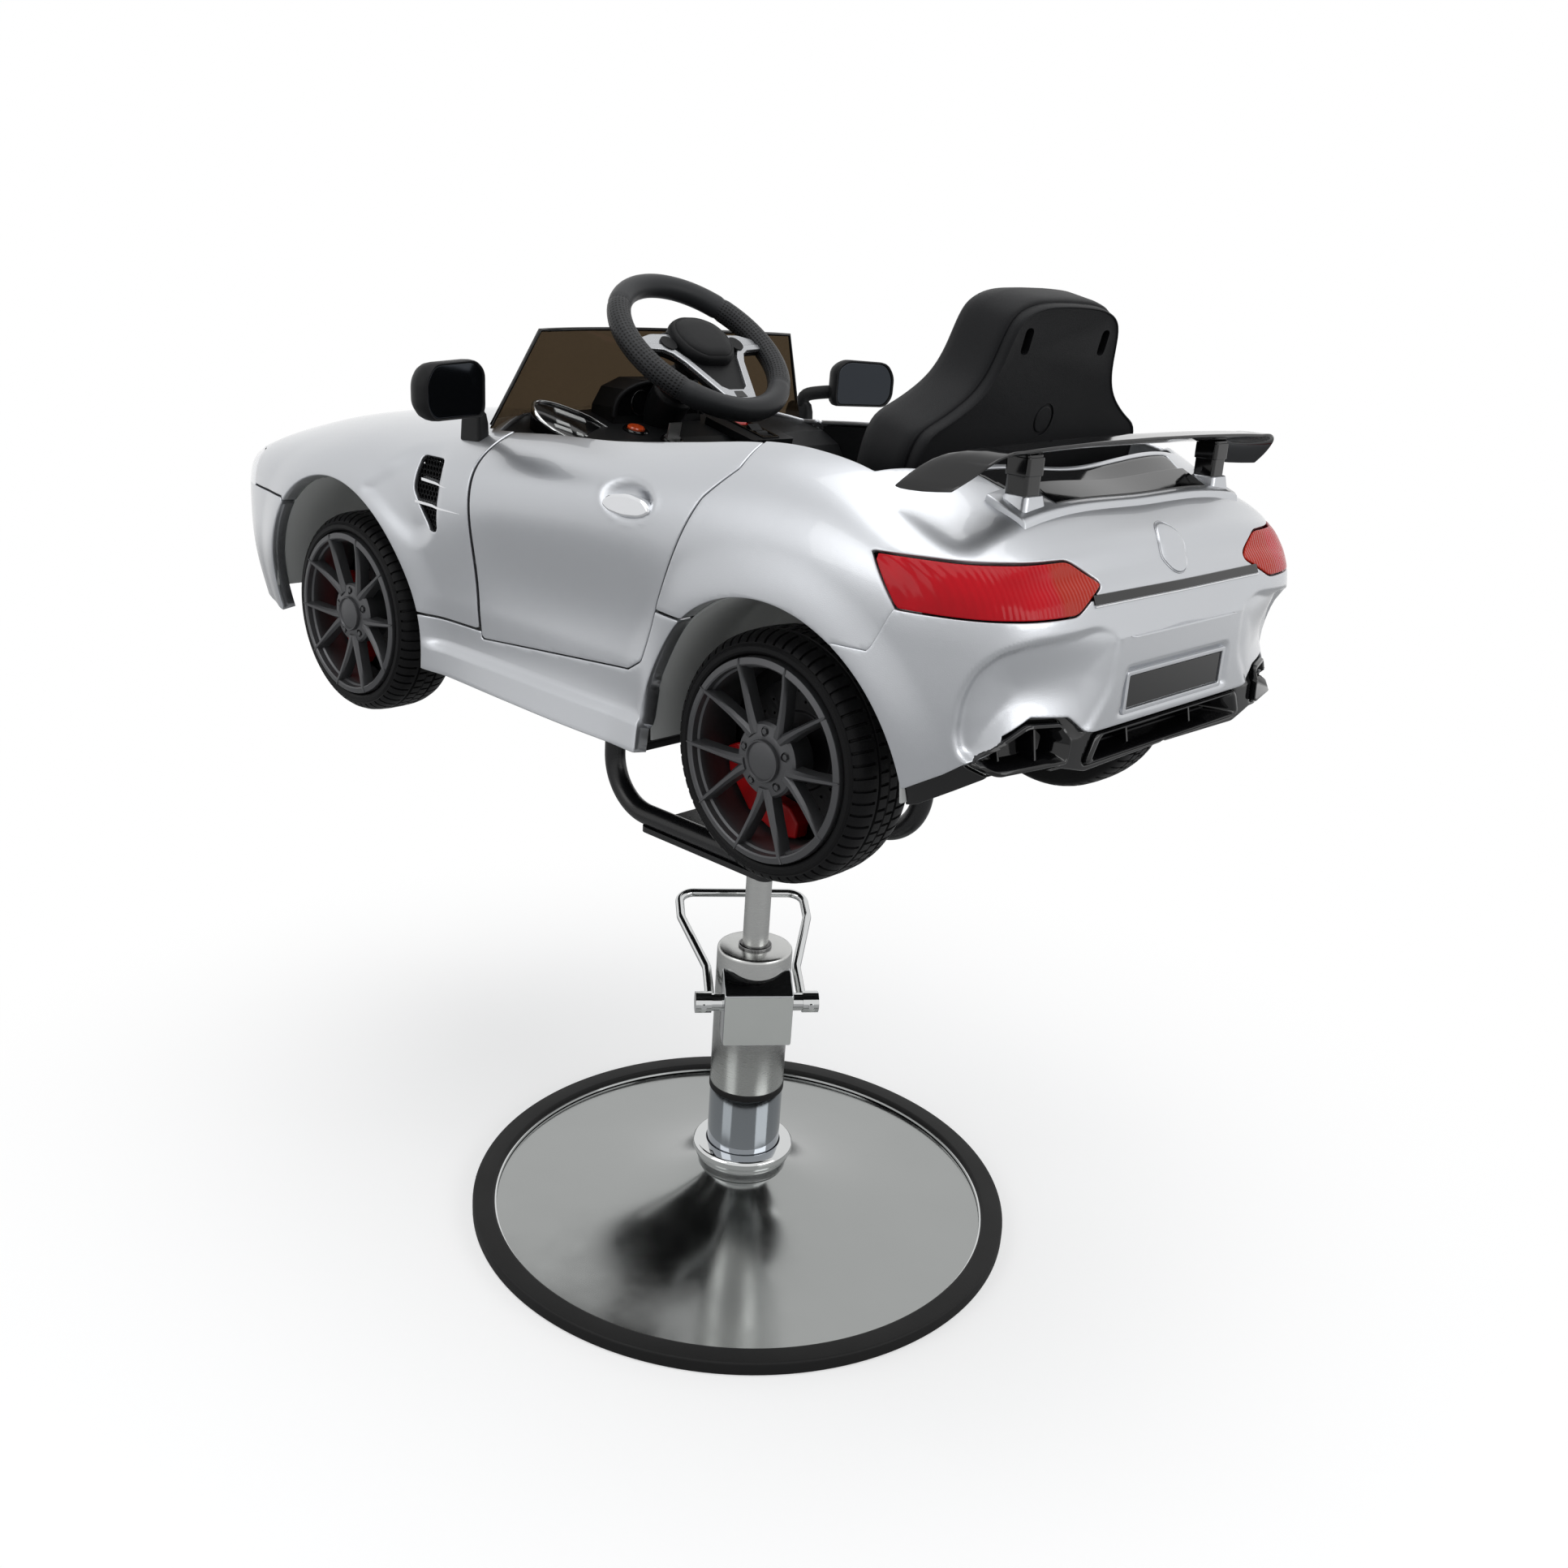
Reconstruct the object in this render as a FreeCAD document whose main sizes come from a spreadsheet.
import FreeCAD, Part
import math
import os
from types import SimpleNamespace

import Sketcher

# A child's barber chair: a toy roadster carried on a chrome hydraulic pedestal.
# Origin: centre of the pedestal's underside, on the floor. +Z up, the car faces -Y, its left side is +X.

# Every size that can be set by itself, in millimetres (angles in degrees).
SIZES = {
    # base
    "base_radius": 300.0, "rim_width": 24.0, "rim_height": 15.0, "rim_lip": 3.0, "rim_bevel": 4.0,
    "plate_thick": 6.0, "dome_sheet": 3.0, "dome_height": 52.0, "dome_neck": 44.0,
    # column
    "column_radius": 40.5, "cylinder_bore": 35.5, "tube_top": 148.0, "seam_gap": 4.0, "seam_depth": 2.5,
    "sleeve_top": 316.0, "sleeve_cap": 12.0, "edge_round": 2.5,
    "collar_radius": 56.0, "collar_foot": 50.0, "collar_height": 28.0, "collar_flange": 8.0,
    "gland_radius": 18.0, "gland_rise": 3.0, "gland_depth": 18.0,
    # pump block and lever
    "pump_yaw": 51.0, "block_width": 74.0, "block_reach": 58.0, "block_bottom": 226.0,
    "block_front_top": 284.0, "block_back_top": 300.0, "block_slope": 26.0,
    "shaft_reach": 38.0, "shaft_height": 268.0, "shaft_radius": 9.5, "shaft_half": 66.0,
    "boss_radius": 11.5, "boss_width": 17.0, "screw_radius": 3.0, "screw_head": 2.0,
    "lever_rod": 5.0, "lever_tilt": 15.0, "lever_half": 49.5, "lever_straight": 56.0,
    "lever_reach": 188.0, "lever_flare": 23.0, "lever_bend": 20.0, "lever_corner": 18.0,
    "running_gap": 0.05, "swivel_float": 0.3,
    # piston and swivel
    "rod_radius": 14.0, "rod_bottom": 170.0, "rod_top": 446.0, "rod_tip": 40.0,
    "head_height": 16.0, "head_groove": 3.0,
    "hub_radius": 24.0, "hub_drop": 20.0, "hub_rise": 16.0, "swivel_plate": 6.0, "swivel_half": 92.0,
    "hub_screw_radius": 4.0, "hub_screw_spread": 60.0,
    # cradle
    "cradle_tube": 11.0, "cradle_wall": 2.0, "cradle_half": 84.0, "cradle_reach": 142.0,
    "cradle_bend": 55.0, "cradle_height": 143.0,
    "rail_width": 34.0, "rail_thick": 10.0, "rail_half": 165.0,
    # car body
    "half_width": 266.0, "nose_reach": 665.0, "tail_reach": 447.0, "body_rise": 280.0,
    "wall": 4.0, "panel_gap": 2.0, "pan_thick": 4.0,
    "axle_rise": 30.0,
    "front_arch": 148.0, "rear_arch": 138.0, "arch_shift": 11.0, "well_depth": 134.0, "liner_wall": 3.0,
    "skirt_top": 64.0, "quarter_line": 134.0, "bumper_line": 150.0, "hood_line": 142.0,
    "cockpit_half": 212.0, "cockpit_front": 236.0, "cockpit_rear": 322.0,
    "door_thick": 26.0, "door_front": 148.0, "door_sill": 66.0, "door_rear": 172.0, "shut_lean": 5.0,
    "hinge_side": 259.0, "hinge_inset": 1.0, "hinge_pin": 2.0, "hinge_arm": 3.4, "hinge_arm_thick": 6.0,
    "hinge_low": 137.0, "hinge_high": 199.0, "hinge_relief": 5.0, "hinge_chamfer": 3.0, "hinge_root": 26.0,
    "hinge_gap": 3.0, "notch_gap": 0.2,
    # wheels
    "tyre_radius": 107.0, "tyre_width": 70.0, "tyre_shoulder": 6.0, "wheel_face": 251.0,
    "rim_radius": 88.0, "rim_ring": 7.0, "rim_depth": 15.0, "rim_offset": 9.0,
    "wheel_hub": 18.0, "axle_radius": 6.0, "wheel_web": 12.0,
    "spoke_root": 9.0, "spoke_tip": 6.0, "spoke_thick": 8.0, "hub_disc": 25.0, "cap_radius": 17.0,
    "cap_rise": 3.0, "lug_radius": 3.0,
    "caliper_inner": 46.0, "caliper_outer": 74.0, "caliper_thick": 16.0,
    # steering
    "steer_height": 329.0, "steer_reach": 127.0, "steer_radius": 102.0,
    "grip_radius": 12.0, "column_rod": 9.0, "column_foot": 48.0, "column_rise": 4.4,
    "crank_throw": 24.0, "crank_pin": 4.0,
    "spoke_plate": 8.0, "pad_radius": 36.0, "pad_rise": 14.0, "horn_travel": 1.5,
    "kingpin_side": 148.0, "kingpin_radius": 6.0, "boss_height": 26.0, "beam_width": 28.0,
    "beam_height": 14.0,
    "tie_bar_width": 16.0, "tie_bar_thick": 4.0, "slot_gap": 1.0, "knuckle_arm": 67.0, "tie_pin": 4.0,
    "beam_rise": 8.0, "hub_clearance": 0.1, "wheel_inset": 8.0, "web_inset": 5.0, "rim_recess": 23.0,
    "lug_depth": 6.0,
    # controls, screen, seat and mirrors
    "screen_thick": 3.0, "column_gap": 1.0, "switch_depth": 8.0, "switch_gap": 0.6, "console_rise": 8.0,
    "button_radius": 9.0, "button_rise": 5.0, "key_radius": 8.0, "key_height": 16.0, "key_thick": 2.0,
    "rocker_width": 16.0, "rocker_length": 26.0, "rocker_rise": 5.0, "rocker_pivot": 4.0,
    "rocker_barrel": 6.0, "rocker_gap": 1.7, "radio_rise": 5.0, "horn_rise": 3.0, "wing_thick": 9.0,
    "seat_thick": 62.0, "mirror_width": 84.0, "mirror_height": 60.0, "mirror_depth": 30.0,
    "mirror_glass": 2.0, "mirror_pin": 5.0, "mirror_arm": 14.0, "mirror_yaw": 15.0,
}

# Both axles keep their share of the body's reach, so that the wheels stay in proportion to the nose and tail.
FRONT_AXLE_SHARE = 0.596992481
REAR_AXLE_SHARE = 0.487695749
DERIVED = {"front_axle_reach": "=nose_reach * %r" % FRONT_AXLE_SHARE,
           "rear_axle_reach": "=tail_reach * %r" % REAR_AXLE_SHARE}

doc = FreeCAD.newDocument("barber_car")
sheet = doc.addObject("Spreadsheet::Sheet", "sizes")
entries = [(name, repr(number)) for name, number in SIZES.items()] + list(DERIVED.items())
for row, (name, content) in enumerate(entries, start=1):
    sheet.set("A%d" % row, name)
    sheet.set("B%d" % row, content)
    sheet.setAlias("B%d" % row, name)
doc.recompute()

mm = SimpleNamespace(**{name: float(sheet.get(name)) for name, content in entries})
V = FreeCAD.Vector
UP = V(0, 0, 1)
SIDE = V(1, 0, 0)
BACK = V(0, 1, 0)
RIGHT_ANGLE = 90
FULL_TURN = 360
SMALL_ANGLE = 0.01


class Length:
    """A length with the sheet formula that gives it, so that a sketch can be bound to it."""

    def __init__(self, number, formula):
        self.number = number
        self.formula = formula

    def __add__(self, other):
        return Length(self.number + other.number, "(%s + %s)" % (self.formula, other.formula))

    def __sub__(self, other):
        return Length(self.number - other.number, "(%s - %s)" % (self.formula, other.formula))

    def __mul__(self, factor):
        return Length(self.number * factor, "(%s * %r)" % (self.formula, factor))


cell = SimpleNamespace(**{name: Length(getattr(mm, name), "sizes." + name) for name, content in entries})
ZERO = Length(0.0, "0")
parts = []


def keep(item, name):
    """Names a finished sub-part and lists it for export."""
    item.Label = name
    parts.append(item)
    return item


def keep_shape(shape, name):
    """A sub-part whose shape is set directly."""
    item = doc.addObject("Part::Feature", name)
    item.Shape = shape
    return keep(item, name)


def closed_sketch(body, plane, outline):
    """A closed outline of straight lines, each corner bound to its two lengths."""
    sketch = body.newObject("Sketcher::SketchObject", body.Name + "_outline")
    origin = [item for item in body.Origin.OriginFeatures if item.Role == plane][0]
    sketch.AttachmentSupport = (origin, [""])
    sketch.MapMode = "FlatFace"
    corners = [V(across.number, along.number, 0) for across, along in outline]
    count = len(corners)
    for index in range(count):
        sketch.addGeometry(Part.LineSegment(corners[index], corners[(index + 1) % count]))
    for index in range(count):
        sketch.addConstraint(Sketcher.Constraint("Coincident", index, 2, (index + 1) % count, 1))
    for index, corner in enumerate(outline):
        for kind, axis, length in (("DistanceX", -2, corner[0]), ("DistanceY", -1, corner[1])):
            if length.number == 0:
                sketch.addConstraint(Sketcher.Constraint("PointOnObject", index, 1, axis))
                continue
            place = sketch.addConstraint(Sketcher.Constraint(kind, -1, 1, index, 1, length.number))
            sketch.setExpression("Constraints[%d]" % place, length.formula)
    return sketch


def turned(name, outline):
    """A turned piece: an outline of (radius, height) corners revolved about the body's Z axis."""
    body = doc.addObject("PartDesign::Body", name)
    sketch = closed_sketch(body, "XZ_Plane", outline)
    turn = body.newObject("PartDesign::Revolution", name + "_turn")
    turn.Profile = sketch
    turn.ReferenceAxis = (sketch, ["V_Axis"])
    turn.Angle = FULL_TURN
    sketch.Visibility = False
    return body


def padded(name, plane, outline, length):
    """A plate or bar: an outline extruded by a length, half to each side of its plane."""
    body = doc.addObject("PartDesign::Body", name)
    sketch = closed_sketch(body, plane, outline)
    pad = body.newObject("PartDesign::Pad", name + "_pad")
    pad.Profile = sketch
    pad.Midplane = True
    pad.setExpression("Length", length.formula)
    sketch.Visibility = False
    return body


def polygon_face(points):
    return Part.Face(Part.makePolygon(list(points) + [points[0]]))


def prism(points, direction):
    return polygon_face(points).extrude(direction)


def side_prism(outline, low, high):
    """An outline of (y, z) points extruded along X from low to high."""
    return prism([V(low, y, z) for y, z in outline], SIDE * (high - low))


def box_between(low, high):
    return Part.makeBox(high[0] - low[0], high[1] - low[1], high[2] - low[2], V(*low))


def cylinder_along(radius, start, end):
    span = end - start
    return Part.makeCylinder(radius, span.Length, start, span)


def upright_edges(shape):
    """The edges of a shape that run straight up."""
    return [edge for edge in shape.Edges if edge.tangentAt(0).isParallel(UP, SMALL_ANGLE)]


def mirrored(shape):
    """The same piece on the other side of the car."""
    return shape.mirror(V(0, 0, 0), SIDE)


def turned_about(outline, point, axis):
    """An outline of (distance along the axis, radius) corners revolved about an axis through a point."""
    across = UP if abs(axis.z) < abs(axis.x) else BACK
    corners = [point + axis * along + across * radius for along, radius in outline]
    return polygon_face(corners).revolve(point, axis, FULL_TURN)


def rounded_path(points, bends):
    """Straight runs joined by tangent arcs of the given radii, as one wire."""
    edges = []
    start = points[0]
    for index in range(1, len(points) - 1):
        corner = points[index]
        back = (points[index - 1] - corner).normalize()
        ahead = (points[index + 1] - corner).normalize()
        half = back.getAngle(ahead) / 2
        run = bends[index - 1] / math.tan(half)
        first = corner + back * run
        last = corner + ahead * run
        inward = (back + ahead).normalize()
        centre = corner + inward * (bends[index - 1] / math.sin(half))
        middle = centre - inward * bends[index - 1]
        edges.append(Part.LineSegment(start, first).toShape())
        edges.append(Part.Arc(first, middle, last).toShape())
        start = last
    edges.append(Part.LineSegment(start, points[-1]).toShape())
    return Part.Wire(edges)


def tube_along(path, radius):
    """A round rod swept along a wire of runs and arcs."""
    start = path.Edges[0].valueAt(path.Edges[0].FirstParameter)
    heading = path.Edges[0].tangentAt(path.Edges[0].FirstParameter)
    ring = Part.Wire(Part.makeCircle(radius, start, heading))
    return path.makePipeShell([ring], True, False)


# Heights that stack up from the floor to the car.
plate_base = mm.rod_top - mm.swivel_plate / 2
plate_top = plate_base + mm.swivel_plate
floor_z = plate_top + mm.cradle_height + mm.rail_thick
axle_z = floor_z + mm.axle_rise
dome_radius = mm.base_radius - mm.rim_width


BELL_SHARES = (0.0, 0.2, 0.4, 0.6, 0.75, 0.88, 1.0)
BELL_POWER = 3.2
COLLAR_SHARES = (0.5, 0.7, 0.8, 0.3)


def build_base():
    """Rubber-edged chrome bell cover over a cast plate."""
    inner = cell.base_radius - cell.rim_width
    keep(turned("base_rim", [
        (inner, ZERO), (cell.base_radius, ZERO),
        (cell.base_radius, cell.rim_height - cell.rim_bevel),
        (cell.base_radius - cell.rim_bevel, cell.rim_height),
        (inner + cell.rim_bevel, cell.rim_height),
        (inner, cell.rim_height - cell.rim_bevel)]), "base_rim")
    keep(turned("base_plate", [
        (ZERO, ZERO), (inner, ZERO), (inner, cell.plate_thick), (ZERO, cell.plate_thick)]),
        "base_plate")
    # The cover rises like a bell: slowly at the edge and steeply at the neck.
    edge = mm.plate_thick + mm.dome_sheet
    top = []
    for share in BELL_SHARES:
        radius = dome_radius + (mm.dome_neck - dome_radius) * share
        top.append(V(radius, 0, edge + (mm.dome_height - edge) * share ** BELL_POWER))
    under = [point - UP * mm.dome_sheet for point in top]
    upper = Part.BSplineCurve()
    upper.interpolate(top)
    lower = Part.BSplineCurve()
    lower.interpolate(under)
    wire = Part.Wire([upper.toShape(), Part.LineSegment(top[-1], under[-1]).toShape(),
                      lower.toShape(), Part.LineSegment(under[0], top[0]).toShape()])
    keep_shape(Part.Face(wire).revolve(V(0, 0, 0), UP, FULL_TURN), "base_dome")


def build_column():
    """Collar, lower tube, pump sleeve and the gland that guides the rod."""
    foot = cell.dome_height
    rise = cell.dome_height + cell.collar_height
    radius = cell.column_radius
    lip, waist, shoulder, brow = [cell.collar_flange * share for share in COLLAR_SHARES]
    keep(turned("base_collar", [
        (radius, foot), (cell.collar_foot, foot), (cell.collar_foot, foot + lip),
        (cell.collar_foot - cell.edge_round, foot + waist),
        (cell.collar_radius - cell.edge_round, rise - cell.collar_flange),
        (cell.collar_radius, rise - shoulder), (cell.collar_radius, rise - brow),
        (cell.collar_foot, rise), (radius, rise)]), "base_collar")
    keep(turned("column_tube", [
        (cell.cylinder_bore, cell.plate_thick), (radius, cell.plate_thick), (radius, cell.tube_top),
        (radius - cell.seam_depth, cell.tube_top),
        (radius - cell.seam_depth, cell.tube_top + cell.seam_gap),
        (cell.cylinder_bore, cell.tube_top + cell.seam_gap)]), "column_tube")
    turned("sleeve_blank", [
        (cell.cylinder_bore, cell.tube_top + cell.seam_gap), (radius, cell.tube_top + cell.seam_gap),
        (radius, cell.sleeve_top - cell.edge_round), (radius - cell.edge_round, cell.sleeve_top),
        (cell.gland_radius, cell.sleeve_top), (cell.gland_radius, cell.sleeve_top - cell.sleeve_cap),
        (cell.cylinder_bore, cell.sleeve_top - cell.sleeve_cap)])
    bore = cell.rod_radius + cell.running_gap
    keep(turned("cylinder_gland", [
        (bore, cell.sleeve_top - cell.gland_depth), (cell.cylinder_bore, cell.sleeve_top - cell.gland_depth),
        (cell.cylinder_bore, cell.sleeve_top - cell.sleeve_cap),
        (cell.gland_radius, cell.sleeve_top - cell.sleeve_cap),
        (cell.gland_radius, cell.sleeve_top + cell.gland_rise),
        (bore, cell.sleeve_top + cell.gland_rise)]), "cylinder_gland")


FLARE_SHARE = 0.76


def build_pump():
    """Pump block on the sleeve, the cross shaft through it and the U-shaped foot lever."""
    yaw = FreeCAD.Rotation(UP, mm.pump_yaw)
    slope_start = cell.block_reach - cell.block_slope
    block = padded("pump_profile", "XZ_Plane", [
        (cell.gland_radius, cell.block_bottom), (cell.block_reach, cell.block_bottom),
        (cell.block_reach, cell.block_front_top), (slope_start, cell.block_back_top),
        (cell.gland_radius, cell.block_back_top)], cell.block_width)
    seat = doc.addObject("Part::Cylinder", "pump_seat")
    seat.setExpression("Radius", cell.column_radius.formula)
    seat.setExpression("Height", cell.sleeve_top.formula)
    bore = doc.addObject("Part::Cylinder", "shaft_bore")
    bore.setExpression("Radius", (cell.shaft_radius + cell.running_gap).formula)
    bore.setExpression("Height", (cell.shaft_half * 2.0).formula)
    bore.Placement = FreeCAD.Placement(V(0, 0, 0), FreeCAD.Rotation(SIDE, RIGHT_ANGLE))
    bore.setExpression("Placement.Base.x", cell.shaft_reach.formula)
    bore.setExpression("Placement.Base.y", cell.shaft_half.formula)
    bore.setExpression("Placement.Base.z", cell.shaft_height.formula)
    hollows = doc.addObject("Part::MultiFuse", "pump_hollows")
    hollows.Shapes = [seat, bore]
    cut = doc.addObject("Part::Cut", "pump_block")
    cut.Base = block
    cut.Tool = hollows
    cut.Placement = FreeCAD.Placement(V(0, 0, 0), yaw)
    keep(cut, "pump_block")
    sleeve = doc.addObject("Part::Cut", "column_sleeve")
    sleeve.Base = doc.getObject("sleeve_blank")
    sleeve.Tool = bore
    sleeve.Placement = FreeCAD.Placement(V(0, 0, 0), yaw)
    keep(sleeve, "column_sleeve")

    # The lever runs back past the column on both sides, flares and closes in a cross bar.
    centre = V(mm.shaft_reach, 0, mm.shaft_height)
    tilt = math.radians(mm.lever_tilt)
    back = V(-math.cos(tilt), 0, math.sin(tilt))
    wide = BACK * (mm.lever_half + mm.lever_flare)
    narrow = BACK * mm.lever_half
    far = centre + back * mm.lever_reach
    knee = centre + back * mm.lever_straight
    hip = centre + back * (mm.lever_reach * FLARE_SHARE)
    points = [centre - narrow, knee - narrow, hip - wide, far - wide,
              far + wide, hip + wide, knee + narrow, centre + narrow]
    bends = [mm.lever_bend, mm.lever_bend, mm.lever_corner, mm.lever_corner, mm.lever_bend, mm.lever_bend]
    bar = tube_along(rounded_path(points, bends), mm.lever_rod)
    half = BACK * mm.shaft_half
    shaft = cylinder_along(mm.shaft_radius, centre - half, centre + half)
    for side in (-1, 1):
        outer = centre + BACK * (side * mm.shaft_half)
        inner = centre + BACK * (side * (mm.shaft_half - mm.boss_width))
        boss = cylinder_along(mm.boss_radius, inner, outer)
        middle = (outer + inner) * 0.5
        screw = cylinder_along(mm.screw_radius, middle, middle + SIDE * (mm.boss_radius + mm.screw_head))
        shaft = shaft.fuse([boss, screw])
    shaft = shaft.removeSplitter().cut(bar)
    for shape, name in ((bar, "lever_bar"), (shaft, "lever_shaft")):
        item = keep_shape(shape, name)
        item.Placement = FreeCAD.Placement(V(0, 0, 0), yaw)


def build_piston():
    """Rod and piston head, which slide in the column."""
    keep(turned("piston_rod", [
        (ZERO, cell.rod_bottom), (cell.rod_radius, cell.rod_bottom), (cell.rod_radius, cell.rod_top),
        (ZERO, cell.rod_top)]), "piston_rod")
    outer = cell.cylinder_bore - cell.running_gap
    top = cell.rod_bottom + cell.head_height
    keep(turned("piston_head", [
        (cell.rod_radius, cell.rod_bottom), (outer, cell.rod_bottom),
        (outer, cell.rod_bottom + cell.head_groove),
        (outer - cell.head_groove, cell.rod_bottom + cell.head_groove),
        (outer - cell.head_groove, cell.rod_bottom + cell.head_groove * 2.0),
        (outer, cell.rod_bottom + cell.head_groove * 2.0), (outer, top), (cell.rod_radius, top)]),
        "piston_head")


def build_cradle():
    """Swivel hub and plate, the two bent tubes on it and the rails that carry the car floor."""
    half = mm.swivel_half
    plate = box_between((-half, -half, plate_base), (half, half, plate_top))
    plate = plate.makeFillet(mm.rail_thick, upright_edges(plate))
    socket = Part.makeCylinder(mm.hub_radius, mm.hub_drop + mm.swivel_plate + mm.hub_rise,
                               UP * (plate_base - mm.hub_drop))
    bore = Part.makeCylinder(mm.rod_radius + mm.running_gap, mm.rod_top + mm.swivel_float)
    hub = plate.fuse(socket).removeSplitter().cut(bore)
    keep_shape(hub, "swivel_hub")
    tubes = []
    for side in (-1, 1):
        low = plate_top + mm.cradle_tube
        top = floor_z - mm.rail_thick
        across = SIDE * (side * mm.cradle_half)
        reach = BACK * mm.cradle_reach
        points = [across - reach + UP * top, across - reach + UP * low,
                  across + reach + UP * low, across + reach + UP * top]
        path = rounded_path(points, [mm.cradle_bend, mm.cradle_bend])
        tubes.append(tube_along(path, mm.cradle_tube).cut(tube_along(path, mm.cradle_tube - mm.cradle_wall)))
    keep_shape(Part.makeCompound(tubes), "cradle_tubes")
    rails = []
    for side in (-1, 1):
        middle = side * mm.cradle_reach
        rails.append(box_between((-mm.rail_half, middle - mm.rail_width / 2, floor_z - mm.rail_thick),
                                 (mm.rail_half, middle + mm.rail_width / 2, floor_z)))
    keep_shape(Part.makeCompound(rails), "mounting_rails")


# Stations of the car body from nose to tail. y_share is of the nose or tail reach, the sill, waist and
# crown x shares are of the local half width, and the hip, crown and roof z shares are of the body rise.
STATION_SHARES = (
    # y_share, sill_x, waist_x, hip_z, crown_x, crown_z, roof_z
    (-0.9994, 0.80, 0.980, 0.40, 0.50, 0.535, 0.545),
    (-0.985, 0.88, 0.980, 0.43, 0.60, 0.600, 0.612),
    (-0.947, 0.92, 0.985, 0.45, 0.68, 0.655, 0.675),
    (-0.887, 0.93, 0.990, 0.46, 0.75, 0.695, 0.722),
    (-0.782, 0.94, 0.985, 0.48, 0.79, 0.745, 0.778),
    (-0.677, 0.945, 0.985, 0.51, 0.79, 0.790, 0.822),
    (-0.579, 0.95, 0.985, 0.53, 0.78, 0.825, 0.855),
    (-0.436, 0.955, 0.980, 0.54, 0.79, 0.855, 0.890),
    (-0.300, 0.965, 0.965, 0.58, 0.81, 0.872, 0.915),
    (-0.150, 0.985, 0.955, 0.65, 0.86, 0.880, 0.925),
    (0.000, 1.000, 0.955, 0.69, 0.87, 0.897, 0.935),
    (0.220, 0.995, 0.965, 0.68, 0.87, 0.932, 0.965),
    (0.385, 0.985, 0.980, 0.64, 0.87, 0.957, 0.985),
    (0.505, 0.970, 0.990, 0.60, 0.86, 0.965, 0.993),
    (0.671, 0.945, 0.985, 0.57, 0.82, 0.950, 0.985),
    (0.805, 0.930, 0.985, 0.565, 0.77, 0.880, 0.920),
    (0.895, 0.920, 0.985, 0.56, 0.73, 0.835, 0.872),
    (0.951, 0.910, 0.985, 0.55, 0.68, 0.750, 0.770),
    (0.985, 0.880, 0.985, 0.52, 0.61, 0.665, 0.680),
    (0.9994, 0.820, 0.980, 0.48, 0.52, 0.575, 0.585),
)
PLAN_POWER = 6
PLAN_ROOT = 7
SHOULDER_SHARES = (0.972, 0.61)
SILL_SHARE = 0.032
PROFILE_FACETS = 18
INNER_FACETS = 10

# How far the cutting shapes run past the car.
OVERRUN = mm.half_width
FRONT_ARCH_Y = mm.arch_shift - mm.front_axle_reach
REAR_ARCH_Y = mm.rear_axle_reach + mm.arch_shift
TOP_Z = floor_z + mm.body_rise + OVERRUN
LOW_Z = floor_z - OVERRUN


def body_form(inset, drop, facets):
    """The closed body, drawn in by an inset all round and lengthened downwards by a drop."""
    wires = []
    for y_share, sill_x, waist_x, hip_z, crown_x, crown_z, roof_z in STATION_SHARES:
        plan = (1 - abs(y_share) ** PLAN_POWER) ** (1 / PLAN_ROOT)
        width = (mm.half_width - inset) * plan
        rise = mm.body_rise - inset
        reach = mm.nose_reach if y_share < 0 else mm.tail_reach
        y = y_share * (reach - inset)
        sill = floor_z + mm.body_rise * SILL_SHARE
        hip = floor_z + rise * hip_z
        crown = floor_z + rise * crown_z
        shoulder = hip + (crown - hip) * SHOULDER_SHARES[1]
        half = [(width * sill_x, sill - drop), (width * waist_x, (sill + hip) / 2), (width, hip),
                (width * SHOULDER_SHARES[0], shoulder), (width * crown_x, crown),
                (0, floor_z + rise * roof_z)]
        points = [V(x, y, z) for x, z in half] + [V(-x, y, z) for x, z in reversed(half[:-1])]
        curve = Part.BSplineCurve()
        curve.interpolate(points)
        corners = curve.discretize(Number=facets + 1)
        wires.append(Part.makePolygon(corners + [corners[0]]))
    return Part.makeLoft(wires, True, True)


def heights(*shares):
    """Shares of the body rise as heights above the floor line."""
    return [floor_z + mm.body_rise * share for share in shares]


def spot(x, y, z):
    """A point given by shares of the half width, of the tail reach and of the rise above the floor line."""
    return V(mm.half_width * x, mm.tail_reach * y, floor_z + mm.body_rise * z)


def side_outline(shares, length):
    """Shares of a length along the car and of the body rise, as (y, z) points."""
    return [(length * y, floor_z + mm.body_rise * z) for y, z in shares]


def region(outline):
    """A side-view outline of (y, z) points through the whole width of the car."""
    return side_prism(outline, -OVERRUN * 2, OVERRUN * 2)


def both(shape):
    """A piece of the car's left side with its twin on the right."""
    return [shape, mirrored(shape)]


def arch_cutters():
    """The four wheel openings as cylinders along X, from the wells outwards."""
    cutters = []
    for y, radius in ((FRONT_ARCH_Y, mm.front_arch), (REAR_ARCH_Y, mm.rear_arch)):
        cutters += both(cylinder_along(radius, V(mm.well_depth, y, axle_z),
                                       V(mm.half_width + OVERRUN, y, axle_z)))
    return cutters


COCKPIT_SHARES = ((0.0, -1.0), (0.70, -0.92), (1.0, -0.74))
COCKPIT_REAR_SHARES = ((1.0, 0.89), (0.80, 1.0))


def cockpit_cutter():
    """The open cockpit, seen from above."""
    front = [(mm.cockpit_half * x, mm.cockpit_front * y) for x, y in COCKPIT_SHARES]
    rear = [(mm.cockpit_half * x, mm.cockpit_rear * y) for x, y in COCKPIT_REAR_SHARES]
    left = front + rear
    outline = left + [(-x, y) for x, y in reversed(left) if x]
    low = floor_z + mm.pan_thick
    return prism([V(x, y, low) for x, y in outline], UP * (TOP_Z - low))


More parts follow.
